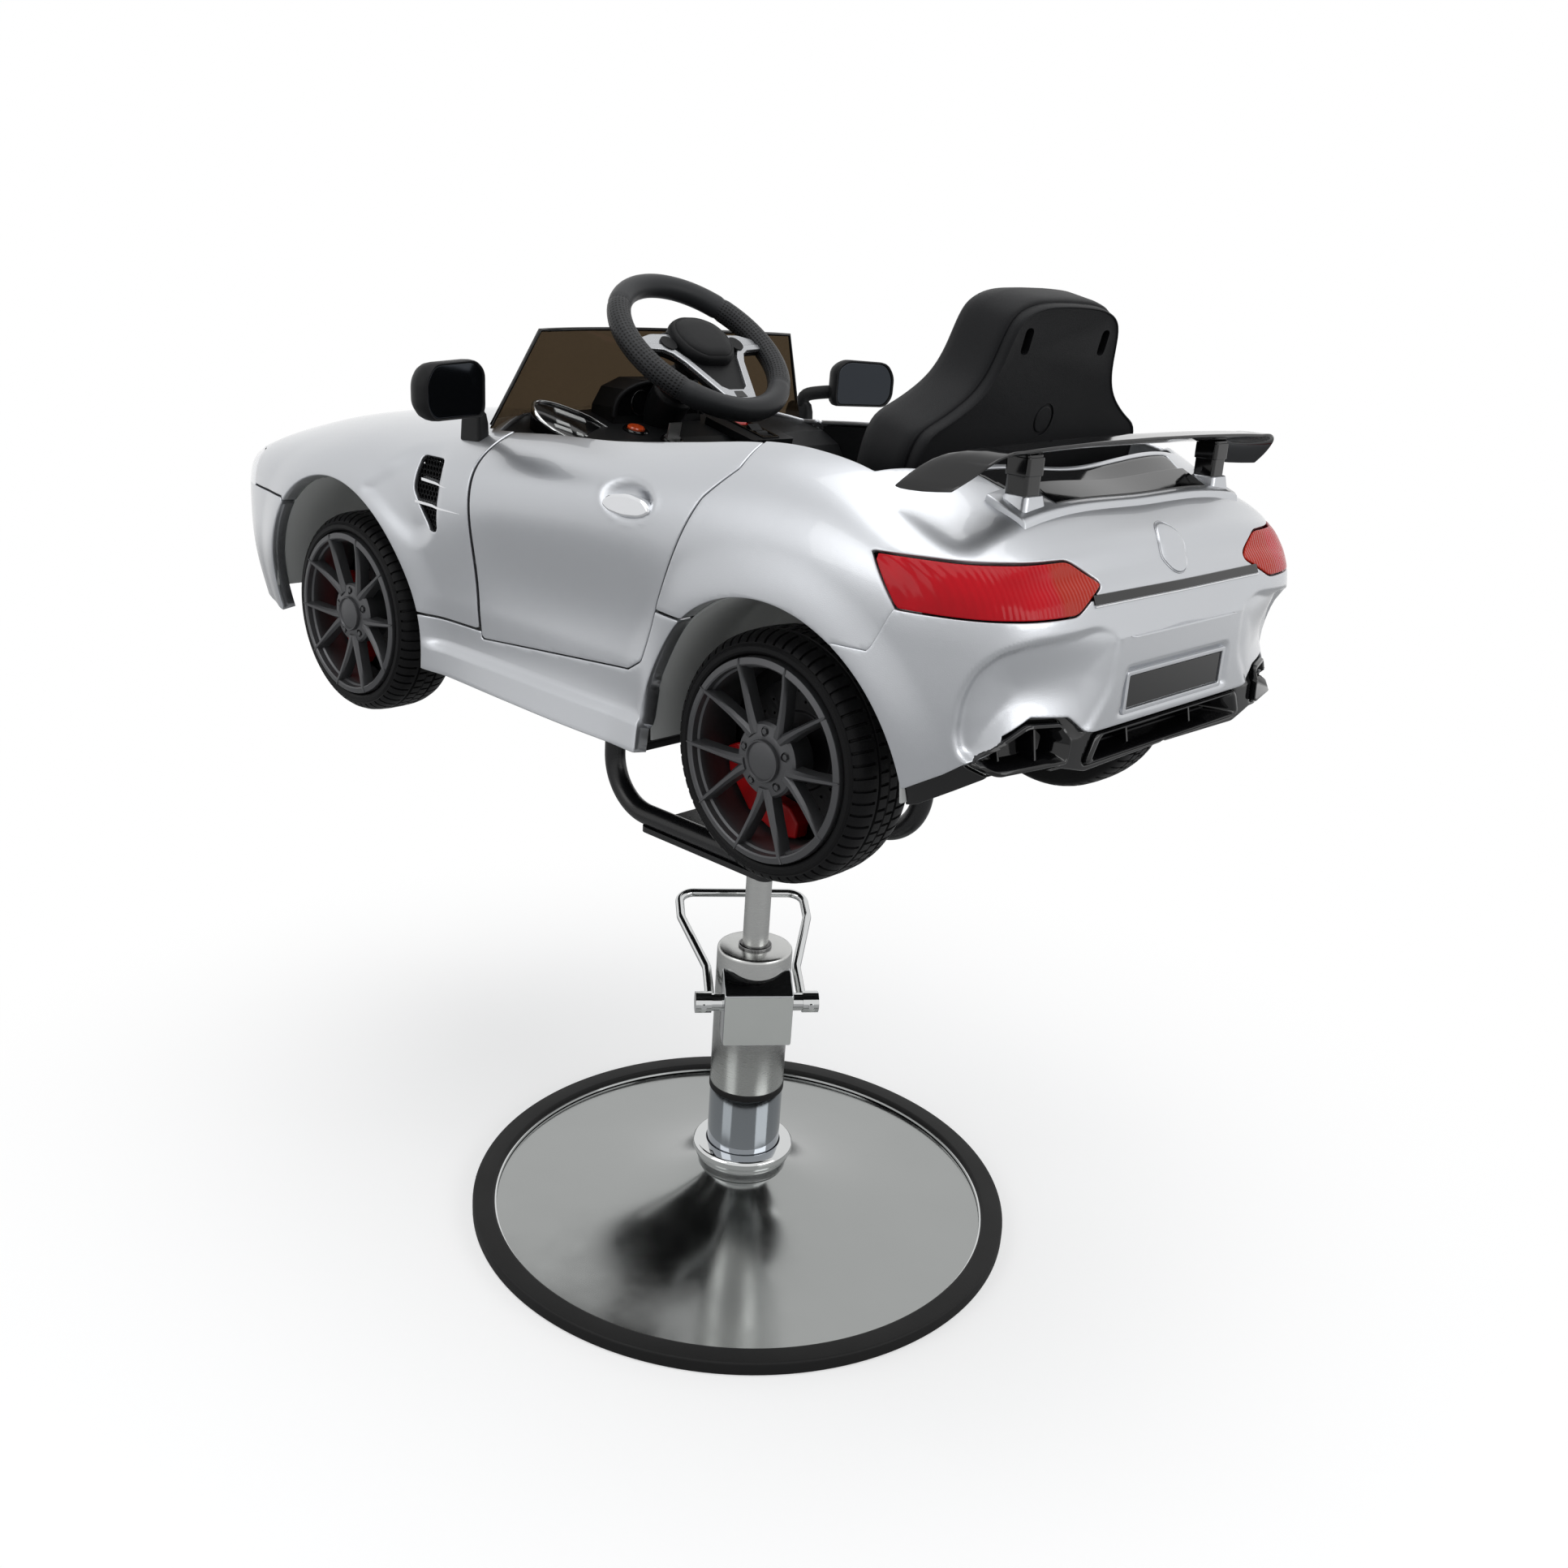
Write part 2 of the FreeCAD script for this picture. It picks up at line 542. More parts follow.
DOOR_EDGE_SHARES = ((0.38, 0.27), (0.49, 0.31), (0.60, 0.50), (0.745, 0.68), (0.87, 0.84), (1.0, 0.93))
DOOR_FRONT_SHARE = 0.86


def door_outline(gap):
    """The door seen from the side, grown by a gap."""
    outline = [(-mm.door_front, floor_z + mm.door_sill * DOOR_FRONT_SHARE)]
    outline += side_outline(DOOR_EDGE_SHARES, mm.door_rear)
    outline += [(mm.door_rear, TOP_Z), (-mm.door_front, TOP_Z)]
    if not gap:
        return outline
    face = polygon_face([V(0, y, z) for y, z in outline])
    wire = face.makeOffset2D(gap, 2).OuterWire
    return [(vertex.Y, vertex.Z) for vertex in wire.OrderedVertexes]


# Lamps: x shares of the half width, y shares of the tail reach and z shares of the body rise.
HEAD_LAMP_WIDTH_SHARES = (0.52, 0.93)
HEAD_LAMP_HEIGHT_SHARES = (0.50, 0.64)
HEAD_LAMP_DEPTH_SHARE = 0.34
TAIL_LAMP_SHARES = ((0.42, 0.725), (0.55, 0.79), (1.1, 0.79), (1.1, 0.66), (0.57, 0.66))
TAIL_LAMP_END_SHARES = ((0.789, 0.66), (0.726, 0.79))
REAR_GLASS_SHARES = ((0.54, 0.735), (0.46, 0.83))


def lamp_blocks():
    """What the head lamps and the tail lamps take out of the shell."""
    near, far = [mm.half_width * share for share in HEAD_LAMP_WIDTH_SHARES]
    low, high = heights(*HEAD_LAMP_HEIGHT_SHARES)
    arch_end = FRONT_ARCH_Y - mm.front_arch
    depth_y = arch_end - (mm.nose_reach + arch_end) * HEAD_LAMP_DEPTH_SHARE
    head = box_between((near, -mm.nose_reach - OVERRUN, low), (far, depth_y, high))
    start = mm.tail_reach / 2
    tail = prism([spot(x, 0, z) + BACK * start for x, z in TAIL_LAMP_SHARES], BACK * (start + OVERRUN))
    ends = side_outline(TAIL_LAMP_END_SHARES, mm.tail_reach)
    far_rear = mm.tail_reach + OVERRUN
    tail = tail.common(region(ends + [(far_rear, ends[1][1]), (far_rear, ends[0][1])]))
    return both(head), both(tail)


def glass_block():
    """What the little rear window takes out of the deck."""
    glass = [(mm.half_width * x, mm.tail_reach * y) for x, y in REAR_GLASS_SHARES]
    outline = glass + [(-x, y) for x, y in reversed(glass)]
    return prism([V(x, y, floor_z + mm.bumper_line) for x, y in outline], UP * OVERRUN)


# Vent behind the front arch: y in door thicknesses behind its start, z as a share of its height.
VENT_SHARES = ((-0.0822, 1), (0.38, 1), (0.38, 0), (0.2645, 0), (-0.0244, 0.5))
VENT_HEIGHT_SHARES = (0.55, 0.775)
FIN_SHARES = ((0.70, 0.2311), (0.655, 0.3611))
FIN_SIDE_SHARES = (0.93, 0.995)
FIN_START_SHARE = 0.1973


def fender_room():
    """Where the front arch ends, and the fender's length from there to the door."""
    edge = FRONT_ARCH_Y + mm.front_arch
    return edge, -mm.door_front - edge


def vent_blocks():
    """What the vents take out of the front fenders."""
    low, high = heights(*VENT_HEIGHT_SHARES)
    edge, room = fender_room()
    outline = [(edge + room * y, low + (high - low) * z) for y, z in VENT_SHARES]
    return both(side_prism(outline, mm.cockpit_half, mm.half_width + OVERRUN))


def build_vents(shell, blocks):
    """Mesh plates in the fender openings, each with two fins standing out of it."""
    plates = [shell.common(block) for block in blocks]
    near, far = [mm.half_width * share for share in FIN_SIDE_SHARES]
    edge, room = fender_room()
    y = edge + room * FIN_START_SHARE
    for height_share, reach_share in FIN_SHARES:
        z = heights(height_share)[0]
        plates += both(box_between((near, y, z), (far, y + room * reach_share, z + mm.wall)))
    return plates[0].fuse(plates[1:])


GRILLE_WIDTH_SHARE = 0.55
GRILLE_HEIGHT_SHARES = (0.11, 0.40)
GRILLE_DEPTH_SHARE = 0.9
GRILLE_BARS = 9


def grille_size():
    """Half width and the two heights of the opening in the nose."""
    low, high = heights(*GRILLE_HEIGHT_SHARES)
    return mm.half_width * GRILLE_WIDTH_SHARE, low, high


def build_grille(inner):
    """Upright bars between two rails, just behind the bumper's opening."""
    half, low, high = grille_size()
    front = -mm.nose_reach + mm.wall
    depth = mm.wall * 2
    frame = box_between((-half - depth, front, low - depth), (half + depth, front + depth, high + depth))
    window = box_between((-half + depth, front - depth, low + mm.wall),
                         (half - depth, front + depth * 2, high - mm.wall))
    grille = frame.cut(window)
    pitch = 2 * half / (GRILLE_BARS + 1)
    bars = []
    for index in range(1, GRILLE_BARS + 1):
        x = pitch * index - half
        bars.append(box_between((x - mm.wall / 2, front, low), (x + mm.wall / 2, front + depth, high)))
    return grille.fuse(bars).removeSplitter().common(inner)


# Where the panels part: shares of the arch radii and of the door's rear reach.
NOSE_SPLIT_SHARE = 0.7
TAIL_SPLIT_SHARE = 0.5
QUARTER_SPLIT_SHARE = 0.4
SKIRT_STEP_SHARE = 0.2
DIFFUSER_SHARES = ((0.70, 0.13), (0.83, 0.17), (0.94, 0.28), (0.99, 0.37))
OUTLET_SHARES = ((0, 0.20), (0.62, 0.15), (-0.62, 0.15))
OUTLET_HEIGHT_SHARES = (0.10, 0.24)
OUTLET_TAPER_SHARE = 0.7
OUTLET_START_SHARE = 0.75


def cut_outlets(diffuser):
    """The diffuser with a trapezoid outlet on each side and a wider one in the middle."""
    low, high = heights(*OUTLET_HEIGHT_SHARES)
    start = BACK * (mm.tail_reach * OUTLET_START_SHARE)
    cuts = []
    for centre_share, half_share in OUTLET_SHARES:
        centre = mm.half_width * centre_share
        wide = mm.half_width * half_share
        narrow = wide * OUTLET_TAPER_SHARE
        corners = ((centre - wide, low), (centre + wide, low),
                   (centre + narrow, high), (centre - narrow, high))
        cuts.append(prism([V(x, 0, z) + start for x, z in corners], BACK * OVERRUN))
    return diffuser.cut(cuts)


def build_body(outer, inner):
    """Painted shell panels, all cut from one smooth form, with the lamps and panels let into them."""
    shell = outer.cut(inner)
    shell = shell.cut(arch_cutters())
    shell = shell.cut(cockpit_cutter())
    inside = mm.cockpit_half - mm.wall
    outside = mm.half_width + OVERRUN
    hinge_edge = -mm.door_front - mm.hinge_gap
    opening = side_prism(door_outline(mm.panel_gap), inside, outside)
    slit = box_between((inside, hinge_edge, floor_z + mm.door_sill * DOOR_FRONT_SHARE),
                       (outside, -mm.door_front, TOP_Z))
    shell = shell.cut(both(opening) + both(slit))

    skirt_z = floor_z + mm.skirt_top
    quarter_z = floor_z + mm.quarter_line
    bumper_z = floor_z + mm.bumper_line
    hood_z = floor_z + mm.hood_line
    nose_y = FRONT_ARCH_Y - mm.front_arch * NOSE_SPLIT_SHARE
    tail_y = REAR_ARCH_Y + mm.rear_arch * TAIL_SPLIT_SHARE
    behind_door = mm.door_rear * QUARTER_SPLIT_SHARE
    skirt_step = mm.door_rear * SKIRT_STEP_SHARE
    far_front = -mm.nose_reach - OVERRUN
    far_rear = mm.tail_reach + OVERRUN

    # Lamps and trim are let into the panels flush with the paint.
    head_lamps, tail_lamps = lamp_blocks()
    glass = glass_block()
    vents = vent_blocks()
    grille_half, grille_low, grille_high = grille_size()
    mouth = box_between((-grille_half, far_front, grille_low),
                        (grille_half, -mm.nose_reach * GRILLE_DEPTH_SHARE, grille_high))
    vent_plates = build_vents(shell, vents)

    hood_region = region([(far_front, hood_z), (nose_y, hood_z), (nose_y, skirt_z), (hinge_edge, skirt_z),
                          (hinge_edge, TOP_Z), (far_front, TOP_Z)])
    hood = shell.common(hood_region).cut(head_lamps + vents + [vent_plates])
    keep_shape(hood.fuse(both(door_hinge(outer))), "hood_shell")
    nose_region = region([(far_front, LOW_Z), (nose_y, LOW_Z), (nose_y, hood_z), (far_front, hood_z)])
    keep_shape(shell.common(nose_region).cut(head_lamps + [mouth]), "front_bumper")
    rear_region = region([(behind_door, quarter_z), (tail_y, quarter_z), (tail_y, bumper_z),
                          (far_rear, bumper_z), (far_rear, TOP_Z), (behind_door, TOP_Z)])
    keep_shape(shell.common(rear_region).cut(tail_lamps + [glass]), "rear_shell")
    split = [(tail_y, heights(DIFFUSER_SHARES[0][1])[0])] + side_outline(DIFFUSER_SHARES, mm.tail_reach)
    split.append((far_rear, split[-1][1]))
    keep_shape(shell.common(region(split + [(far_rear, bumper_z), (tail_y, bumper_z)])), "rear_bumper")
    diffuser = shell.common(region(split + [(far_rear, LOW_Z), (tail_y, LOW_Z)]))
    keep_shape(cut_outlets(diffuser), "rear_diffuser")
    keep_shape(Part.makeCompound([shell.common(block) for block in head_lamps]), "headlamps")
    keep_shape(Part.makeCompound([shell.common(block) for block in tail_lamps]), "tail_lamps")
    keep_shape(shell.common(glass), "rear_window")
    keep_shape(vent_plates, "side_vents")
    keep_shape(build_grille(inner), "front_grille")
    skirt_region = region([(FRONT_ARCH_Y, LOW_Z), (REAR_ARCH_Y, LOW_Z), (REAR_ARCH_Y, quarter_z),
                           (skirt_step, quarter_z), (skirt_step, skirt_z), (FRONT_ARCH_Y, skirt_z)])
    build_lower(shell.common(skirt_region), inner)


DOOR_POCKET_SHARES = ((-0.75, 0.30), (0.30, 0.34), (0.55, 0.62), (-0.75, 0.62))
HANDLE_SHARES = (0.962, 0.385, 0.785)
RECESS_SHARES = (0.28, 1.22, 0.70)
HANDLE_BAR_SHARES = (1.4, 1.15)


def build_doors(outer):
    """Hollow-backed doors with a handle bar across an oval recess."""
    inside = mm.cockpit_half + mm.panel_gap
    edge = mm.half_width
    door = outer.common(side_prism(door_outline(0), inside, edge + OVERRUN))
    pocket = side_outline(DOOR_POCKET_SHARES, mm.door_rear)
    door = door.cut(side_prism(pocket, inside - mm.wall, inside + mm.door_thick))
    handle = V(edge * HANDLE_SHARES[0], mm.door_rear * HANDLE_SHARES[1], heights(HANDLE_SHARES[2])[0])
    recess = Part.makeSphere(mm.door_thick)
    squash = FreeCAD.Matrix()
    squash.scale(*RECESS_SHARES)
    recess = recess.transformGeometry(squash)
    recess.translate(handle)
    half_bar = BACK * (mm.door_thick * HANDLE_BAR_SHARES[1])
    bar = cylinder_along(mm.wall * HANDLE_BAR_SHARES[0], handle - half_bar, handle + half_bar)
    door = door.cut(recess).fuse(bar)
    # The shut face leans forward from the skin to the lining, so that the door swings clear of the body.
    wires = []
    for x, lean in ((inside, mm.shut_lean), (edge, 0)):
        shut = [(y - lean, z) for y, z in side_outline(DOOR_EDGE_SHARES, mm.door_rear)]
        shut += [(mm.door_rear - lean, TOP_Z), (mm.door_rear + OVERRUN, TOP_Z),
                 (mm.door_rear + OVERRUN, shut[0][1])]
        wires.append(Part.makePolygon([V(x, y, z) for y, z in shut + shut[:1]]))
    shut_face = Part.makeLoft(wires, True, True)
    # The leading edge is relieved round the hinge, so that it turns clear of the fender.
    front = -mm.door_front
    chamfer = mm.hinge_chamfer
    relief = prism([V(edge - chamfer, front, LOW_Z), V(edge + chamfer, front, LOW_Z),
                    V(edge + chamfer, front + chamfer * 2, LOW_Z)], UP * (TOP_Z - LOW_Z))
    clearance = mm.notch_gap
    notches = []
    for height in (mm.hinge_low, mm.hinge_high):
        z = floor_z + height - clearance
        notches.append(box_between((mm.hinge_side - mm.hinge_relief, front - mm.wall, z),
                                   (edge + mm.wall, front + mm.hinge_inset + mm.hinge_relief,
                                    z + mm.hinge_arm_thick + clearance * 2)))
    bore = Part.makeCylinder(mm.hinge_pin + mm.running_gap, mm.hinge_high - mm.hinge_low,
                             V(mm.hinge_side, front + mm.hinge_inset, floor_z + mm.hinge_low))
    door = door.cut([shut_face, relief, bore] + notches)
    keep_shape(door, "door_left")
    keep_shape(mirrored(door), "door_right")


def door_hinge(outer):
    """Two arms on the left fender that hold the door's hinge pin."""
    x = mm.hinge_side
    y = -mm.door_front + mm.hinge_inset
    pieces = []
    for height in (mm.hinge_low, mm.hinge_high):
        z = floor_z + height
        pieces.append(Part.makeCylinder(mm.hinge_arm, mm.hinge_arm_thick, V(x, y, z)))
        pieces.append(box_between((x - mm.hinge_arm, y - mm.hinge_root, z),
                                  (x + mm.hinge_arm, y, z + mm.hinge_arm_thick)))
    pieces.append(Part.makeCylinder(mm.hinge_pin, mm.hinge_high + mm.hinge_arm_thick - mm.hinge_low,
                                    V(x, y, floor_z + mm.hinge_low)))
    return pieces[0].fuse(pieces[1:]).common(outer)


PAN_SHARES = (0.93, 0.92)
# The steering gear's slot through the wells: of the half width, then in beam widths about the front axle.
GEAR_SLOT_SHARES = (0.6, 1.4, 3.6, 1.7)


def build_lower(skirts, inner):
    """Floor moulding: side skirts, floor pan and a liner over each wheel."""
    pan_top = floor_z + mm.pan_thick
    pan = box_between((-mm.half_width, -mm.nose_reach * PAN_SHARES[0], floor_z),
                      (mm.half_width, mm.tail_reach * PAN_SHARES[1], pan_top)).common(inner)
    pan = pan.cut(arch_cutters())
    liners = []
    for y, radius in ((FRONT_ARCH_Y, mm.front_arch), (REAR_ARCH_Y, mm.rear_arch)):
        end = V(mm.half_width, y, axle_z)
        outside = cylinder_along(radius + mm.liner_wall, V(mm.well_depth - mm.liner_wall, y, axle_z), end)
        hollow = cylinder_along(radius, V(mm.well_depth, y, axle_z), end + SIDE * mm.wall)
        above = box_between((-OVERRUN, y - OVERRUN, floor_z), (OVERRUN * 2, y + OVERRUN, TOP_Z))
        liners += both(outside.cut(hollow).common(above).common(inner))
    lower = pan.fuse(liners + [skirts])
    width, ahead, behind, rise = GEAR_SLOT_SHARES
    slot = box_between((-mm.half_width * width, -mm.front_axle_reach - mm.beam_width * ahead, pan_top),
                       (mm.half_width * width, -mm.front_axle_reach + mm.beam_width * behind,
                        axle_z + mm.beam_width * rise))
    rear_hole = cylinder_along(mm.axle_radius, V(-mm.half_width, mm.rear_axle_reach, axle_z),
                               V(mm.half_width, mm.rear_axle_reach, axle_z))
    keep_shape(lower.cut([slot, rear_hole]), "lower_body")


PLINTH_SHARES = (0.62, 0.79, 0.875, 0.885)
PEDESTAL_SHARES = (0.535, 0.09, 0.94)
PEDESTAL_HEAD_SHARES = (0.8, 1.5)
# The wing's sections from the middle to a tip: x, front and rear y, and z.
WING_SHARES = ((0.0, 0.812, 0.893, 1.050), (0.745, 0.803, 0.893, 1.035), (0.80, 0.757, 0.890, 1.020),
               (0.86, 0.711, 0.877, 0.972))
# One wing section: along its chord and across its thickness.
FOIL_SHARES = ((0.0, 0.35), (0.2, 0.85), (0.6, 1.0), (1.0, 0.95), (1.0, 0.6), (0.6, 0.15), (0.2, 0.0))
POST_SHARE = 0.62


def build_wing(outer):
    """Silver plinth with two pedestals on the deck, and the black wing on its two posts."""
    deck_low = floor_z + mm.bumper_line
    half_share, front_share, rear_share, top_share = PLINTH_SHARES
    x_share, foot_share, pedestal_share = PEDESTAL_SHARES
    base_z, pedestal_z = heights(top_share, pedestal_share)
    front, rear = mm.tail_reach * front_share, mm.tail_reach * rear_share
    half = mm.half_width * half_share
    pedestal_x = mm.half_width * x_share
    foot = mm.half_width * foot_share
    head = foot * PEDESTAL_HEAD_SHARES[0]
    step = mm.wall * PEDESTAL_HEAD_SHARES[1]
    pieces = [box_between((-half, front, deck_low), (half, rear, base_z))]
    rings = []
    for reach, inset, z in ((foot, 0, deck_low), (head, step, pedestal_z)):
        corners = [V(pedestal_x - reach, front + inset, z), V(pedestal_x + reach, front + inset, z),
                   V(pedestal_x + reach, rear - inset, z), V(pedestal_x - reach, rear - inset, z)]
        rings.append(Part.makePolygon(corners + corners[:1]))
    pieces += both(Part.makeLoft(rings, True, True))
    plinth = pieces[0].fuse(pieces[1:]).removeSplitter().cut(outer)
    keep_shape(plinth, "wing_plinth")

    # The blade is one airfoil across the car that widens and drops into a plate at each tip.
    sections = []
    stations = [(-x, near, far, z) for x, near, far, z in reversed(WING_SHARES[1:])] + list(WING_SHARES)
    for x, near, far, z in stations:
        corners = [spot(x, near + (far - near) * along, z) + UP * (mm.wing_thick * across)
                   for along, across in FOIL_SHARES]
        sections.append(Part.makePolygon(corners + corners[:1]))
    blade = Part.makeLoft(sections, True, True)
    middle_y = (front + rear) / 2
    post_half = foot * POST_SHARE
    blade_z = heights(WING_SHARES[1][3])[0] + mm.wing_thick / 2
    post = box_between((pedestal_x - post_half, middle_y - post_half, pedestal_z),
                       (pedestal_x + post_half, middle_y + post_half, blade_z))
    keep_shape(blade.fuse(both(post)), "rear_wing")


# The windscreen's ends and middle at its foot and at its top edge.
SCREEN_SHARES = ((0.8083, -0.4161, 0.8857), (0, -0.5503, 0.8857),
                 (0.6466, -0.3758, 1.2179), (0, -0.4743, 1.25))


def build_windscreen(outer, dash):
    """Low wrap-around screen standing on the hood in front of the cockpit."""
    side_low, middle_low, side_high, middle_high = [spot(*share) for share in SCREEN_SHARES]
    wires = []
    for side, middle in ((side_low, middle_low), (side_high, middle_high)):
        level = UP * (side.z - middle.z)
        outside = [V(-side.x, side.y, side.z), middle + level, side]
        inside = [point + BACK * mm.screen_thick for point in outside]
        front = Part.Arc(*outside).toShape()
        back = Part.Arc(*inside).toShape()
        wires.append(Part.Wire([front, Part.LineSegment(outside[2], inside[2]).toShape(), back,
                                Part.LineSegment(inside[0], outside[0]).toShape()]))
    screen = Part.makeLoft(wires, True, True)
    keep_shape(screen.cut([outer, dash]), "windscreen")


DASH_SHARES = ((-0.6711, 0.7071), (-0.6711, 0.9286), (-0.5145, 0.9214), (-0.3177, 0.85), (-0.264, 0.8071),
               (-0.2416, 0.75), (-0.2506, 0.6786), (-0.4251, 0.6))
COWL_SHARES = ((-0.2331, 0.85), (-0.2256, 0.9429), (-0.1805, 1.0071), (-0.0902, 1.0393), (0.0902, 1.0393),
               (0.1805, 1.0071), (0.2256, 0.9429), (0.2331, 0.85))
COWL_DEPTH_SHARES = (-0.4966, -0.4161)
# Places on the dash: x and y as shares of the half width, from the middle of its upper edge.
DASH_SPOT_SHARES = (-0.4161, 0.8857)
CONSOLE_SHARES = ((-0.4586, 0.0301), (-0.218, 0.3158))
RADIO_SHARES = ((0.2481, -0.0301), (0.6842, 0.1729))
ROCKER_SHARES = ((-0.3383, 0.1053), (-0.3383, 0.2331))
BUTTON_SHARES = (0.188, 0.0827)
KEY_SHARES = (0.1053, 0.203)
ROCKER_TIP_SHARE = 0.2


def placed(shape, place):
    """A copy of a shape moved to a placement."""
    shape = shape.copy()
    shape.Placement = place.multiply(shape.Placement)
    return shape


def middle_of(shares):
    """The middle of a pair of corners."""
    (low_x, low_y), (high_x, high_y) = shares
    return (low_x + high_x) / 2, (low_y + high_y) / 2


def size_of(shares):
    """How far apart a pair of corners is, across the dash and along it."""
    (low_x, low_y), (high_x, high_y) = shares
    return mm.half_width * (high_x - low_x), mm.half_width * (high_y - low_y)


def dash_place(x, y):
    """A placement on the sloping top of the dash: x to the left, y towards the driver."""
    first = spot(0, *DASH_SHARES[2])
    last = spot(0, *DASH_SHARES[3])
    down = (last - first).normalize()
    angle = -math.degrees(math.atan2(-down.z, down.y))
    start = first + down * (spot(0, *DASH_SPOT_SHARES) - first).dot(down)
    return FreeCAD.Placement(start + SIDE * (mm.half_width * x) + down * (mm.half_width * y),
                             FreeCAD.Rotation(SIDE, angle))


def build_dash(outer):
    """Dash moulding across the cockpit, with radio, switch console, start button and key switch."""
    dash = region(side_outline(DASH_SHARES, mm.tail_reach)).common(cockpit_cutter())
    cowl_front, cowl_rear = [mm.tail_reach * share for share in COWL_DEPTH_SHARES]
    cowl = prism([spot(x, 0, z) + BACK * cowl_front for x, z in COWL_SHARES], BACK * (cowl_rear - cowl_front))
    dash = dash.fuse(cowl)
    axis = steering_axis()
    centre = steering_centre()
    dash = dash.cut(cylinder_along(mm.column_rod + mm.column_gap, steering_foot(), centre))
    depth = mm.switch_depth
    gap = mm.switch_gap
    button = dash_place(*BUTTON_SHARES)
    key = dash_place(*KEY_SHARES)
    wells = [placed(Part.makeCylinder(mm.button_radius + gap, depth * 2, UP * -depth), button),
             placed(Part.makeCylinder(mm.key_radius + gap, depth * 2, UP * -depth), key)]
    across, along = size_of(CONSOLE_SHARES)
    console = Part.makeBox(across, along, mm.console_rise, V(-across / 2, -along / 2, 0))
    console = console.makeFillet(mm.console_rise / 2, upright_edges(console))
    console = placed(console, dash_place(*middle_of(CONSOLE_SHARES)))
    swing = mm.rocker_gap
    rocker_well = Part.makeBox(mm.rocker_width + gap * 2, mm.rocker_length + swing * 2, depth * 3,
                               V(-mm.rocker_width / 2 - gap, -mm.rocker_length / 2 - swing, -depth))
    rocker_wells = [placed(rocker_well, dash_place(*share)) for share in ROCKER_SHARES]
    console = console.cut(rocker_wells)
    dash = dash.cut(wells + rocker_wells)
    keep_shape(dash, "dashboard")
    build_windscreen(outer, dash)
    keep_shape(console, "switch_console")
    half_across, half_along = [length / 2 for length in size_of(RADIO_SHARES)]
    oval = Part.makeCylinder(half_along, mm.radio_rise)
    stretch = FreeCAD.Matrix()
    stretch.scale(half_across / half_along, 1, 1)
    keep_shape(placed(oval.transformGeometry(stretch), dash_place(*middle_of(RADIO_SHARES))), "radio_panel")

    start = Part.makeCylinder(mm.button_radius, mm.button_rise + depth / 2, UP * (-depth / 2))
    start = start.makeChamfer(mm.edge_round / 2, [max(start.Edges, key=lambda edge: edge.CenterOfMass.z)])
    keep_shape(placed(start, button), "start_button")
    barrel = Part.makeCylinder(mm.key_radius, mm.button_rise + depth / 2, UP * (-depth / 2))
    bow = Part.makeBox(mm.key_radius * 2, mm.key_thick, mm.key_height,
                       V(-mm.key_radius, -mm.key_thick / 2, mm.button_rise - mm.key_thick))
    keep_shape(placed(barrel.fuse(bow), key), "key_switch")
    half_length = mm.rocker_length / 2
    top = mm.console_rise
    dip = mm.rocker_rise * ROCKER_TIP_SHARE
    outline = [(-half_length, 0), (half_length, 0), (half_length, top + dip), (0, top - dip),
               (-half_length, top + mm.rocker_rise)]
    left = SIDE * (-mm.rocker_width / 2)
    rocker = prism([left + V(0, y, z) for y, z in outline], SIDE * mm.rocker_width)
    pivot = left + UP * mm.rocker_pivot
    rocker = rocker.fuse(cylinder_along(mm.rocker_barrel, pivot, pivot + SIDE * mm.rocker_width))
    for share, name in zip(ROCKER_SHARES, ("rocker_red", "rocker_black")):
        keep_shape(placed(rocker, dash_place(*share)), name)


SEAT_BACK_SHARES = ((0, 1.4286), (0.2256, 1.4143), (0.2932, 1.3679), (0.3308, 1.2429), (0.406, 1.1643),
                    (0.5639, 1.0821), (0.6165, 1.0393), (0.6241, 0.6714), (0.4662, 0.6429), (0.4586, 0.3143))
SEAT_TOP_SHARES = (0.698, 1.4214)
SEAT_LOW_SHARES = (0.5503, 0.35)
# The seat back's sections from its rear face to its front: depth and scale.
SEAT_SECTION_SHARES = ((0.0, 0.955), (0.16, 0.99), (0.45, 1.0), (0.82, 0.985), (1.0, 0.93))
SEAT_SLOT_SHARES = ((0.1579, 1.3214), (0.2632, 1.3607))
SEAT_BASE_SHARES = ((0.0805, 0.0143), (0.0805, 0.35), (0.1163, 0.4071), (0.5369, 0.3571), (0.5861, 0.5643),
                    (0.5861, 0.0143))
AXLE_CHANNEL_SHARE = 0.6
SEAT_HALF_SHARE = 0.4662
BOLSTER_SHARES = ((0.4737, 0.6214), (0.782, 0.6214), (0.782, 0.8), (0.7368, 0.8714), (0.5639, 0.8714),
                  (0.4737, 0.7786))
BOLSTER_REACH_SHARES = (0.3937, 0.6353)


